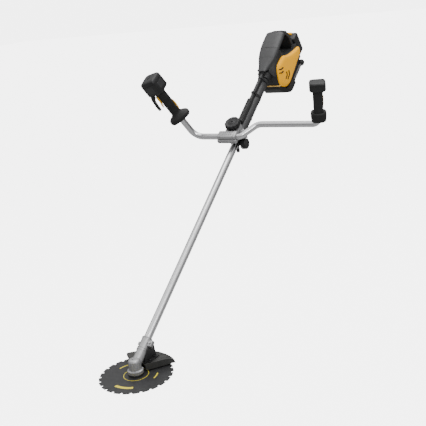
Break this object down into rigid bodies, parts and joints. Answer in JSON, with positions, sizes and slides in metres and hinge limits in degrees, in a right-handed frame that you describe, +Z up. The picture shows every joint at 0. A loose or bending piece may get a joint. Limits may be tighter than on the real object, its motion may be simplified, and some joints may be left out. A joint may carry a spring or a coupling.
{
  "type": "brush cutter",
  "caption": "Battery brush cutter with toothed disc blade, angled gear head, straight shaft, folding two-handed handlebar and rear power head with carry handle.",
  "frame": {"origin": "centre of the harness eyelet's hole under the shaft", "axes": "+Z up with the blade level, +Y towards the user and the power head, +X towards the user's left"},
  "size_m": [0.688, 1.6035, 1.006],
  "materials": {
    "blade_paint": "satin",
    "steel": "satin",
    "black_metal": "satin",
    "cast_aluminium": "satin cast",
    "bright_aluminium": "drawn",
    "black_plastic": "fine texture",
    "dark_plastic": "fine texture",
    "grip_rubber": "soft",
    "yellow_plastic": "semi-gloss",
    "copper": "wound",
    "board_green": "satin"
  },
  "bodies": {
    "machine": {"lower_spindle_bearing": "steel", "upper_spindle_bearing": "steel", "spindle_seal": "grip_rubber", "pinion_bearing": "steel", "gear_case": "cast_aluminium", "gear_case_cover": "cast_aluminium", "case_clamp_bolt": "steel", "guard": "dark_plastic", "guard_bracket": "black_metal", "guard_bolt": "steel", "shaft_tube": "bright_aluminium", "lower_shaft_bush": "black_plastic", "upper_shaft_bush": "black_plastic", "upper_sleeve": "dark_plastic", "conduit": "black_plastic", "corrugated_boot": "grip_rubber", "conduit_clip": "black_plastic", "trigger_cable": "grip_rubber", "clamp_base": "cast_aluminium", "hanger_band": "black_plastic", "motor_housing": "black_plastic", "hood": "dark_plastic", "left_cover": "yellow_plastic", "right_cover": "yellow_plastic", "battery_housing": "dark_plastic", "rear_handle": "dark_plastic", "base_bumper": "grip_rubber", "skid_rail": "dark_plastic", "left_rail_cap": "grip_rubber", "right_rail_cap": "grip_rubber", "motor_stator": "copper", "control_board": "board_green"},
    "blade": {"blade": "blade_paint", "receiver_washer": "black_metal", "clamping_washer": "steel", "blade_cup": "steel", "blade_nut": "steel", "output_spindle": "steel", "crown_gear": "steel"},
    "drive": {"drive_shaft": "steel", "pinion_gear": "steel", "motor_rotor": "steel", "cooling_fan": "black_plastic"},
    "handlebar": {"bar_clamp_body": "cast_aluminium", "bar_clamp_cap": "cast_aluminium", "handlebar": "bright_aluminium", "right_grip": "grip_rubber", "switch_head": "black_plastic", "trigger_switch": "black_plastic", "finger_guard": "black_plastic", "left_grip": "grip_rubber", "left_grip_head": "black_plastic"},
    "clamp_knob": {"clamp_knob": "black_plastic", "clamp_bolt": "steel"},
    "hanger_knob": {"hanger_knob": "black_plastic"},
    "trigger": {"trigger": "yellow_plastic"},
    "lock_off_lever": {"lock_off_lever": "yellow_plastic"},
    "speed_button": {"speed_button": "dark_plastic"},
    "battery": {"battery_pack": "black_plastic"},
    "battery_latch": {"battery_latch": "yellow_plastic"}
  },
  "joints": [
    {"name": "blade_spin", "type": "hinge", "parent": "machine", "child": "blade", "pos_m": [0, -0.84905, -0.53499], "axis": [0, 0, 1], "continuous": true},
    {"name": "drive_spin", "type": "hinge", "parent": "machine", "child": "drive", "pos_m": [0, -0.84905, -0.53499], "axis": [0, 0.8281, 0.5606], "continuous": true},
    {"name": "handlebar_fold", "type": "hinge", "parent": "machine", "child": "handlebar", "pos_m": [0, -0.00844, 0.09452], "axis": [0, 0.5606, -0.8281], "range_deg": [0, 90]},
    {"name": "clamp_knob_turn", "type": "hinge", "parent": "machine", "child": "clamp_knob", "pos_m": [0, -0.01965, 0.11108], "axis": [0, -0.5606, 0.8281], "range_deg": [0, 270]},
    {"name": "hanger_knob_turn", "type": "hinge", "parent": "machine", "child": "hanger_knob", "pos_m": [0.033, -0.00742, 0.02879], "axis": [1, 0, 0], "range_deg": [0, 270]},
    {"name": "trigger_pull", "type": "hinge", "parent": "handlebar", "child": "trigger", "pos_m": [-0.23639, -0.17192, 0.25352], "axis": [0.7093, -0.6853, -0.165], "range_deg": [0, 7], "stiffness_Nm_per_rad": 0.4, "springref_deg": -8.59},
    {"name": "lock_off_press", "type": "hinge", "parent": "handlebar", "child": "lock_off_lever", "pos_m": [-0.18936, -0.10972, 0.19729], "axis": [0.7093, -0.6853, -0.165], "range_deg": [0, 5], "stiffness_Nm_per_rad": 0.4, "springref_deg": -8.59},
    {"name": "speed_button_press", "type": "slide", "parent": "handlebar", "child": "speed_button", "axis": [0.2701, 0.4804, -0.8344], "range_m": [0, 0.0015], "stiffness_N_per_m": 400, "springref_m": -0.002},
    {"name": "battery_slide", "type": "slide", "parent": "machine", "child": "battery", "axis": [0, 0.8281, 0.5606], "range_m": [0, 0.12]},
    {"name": "battery_latch_press", "type": "slide", "parent": "battery", "child": "battery_latch", "axis": [0, 0.5606, -0.8281], "range_m": [0, 0.003], "stiffness_N_per_m": 500, "springref_m": -0.002}
  ],
  "couplings": [
    {"joint": "drive_spin", "follows": "blade_spin", "ratio": 1.3571}
  ]
}
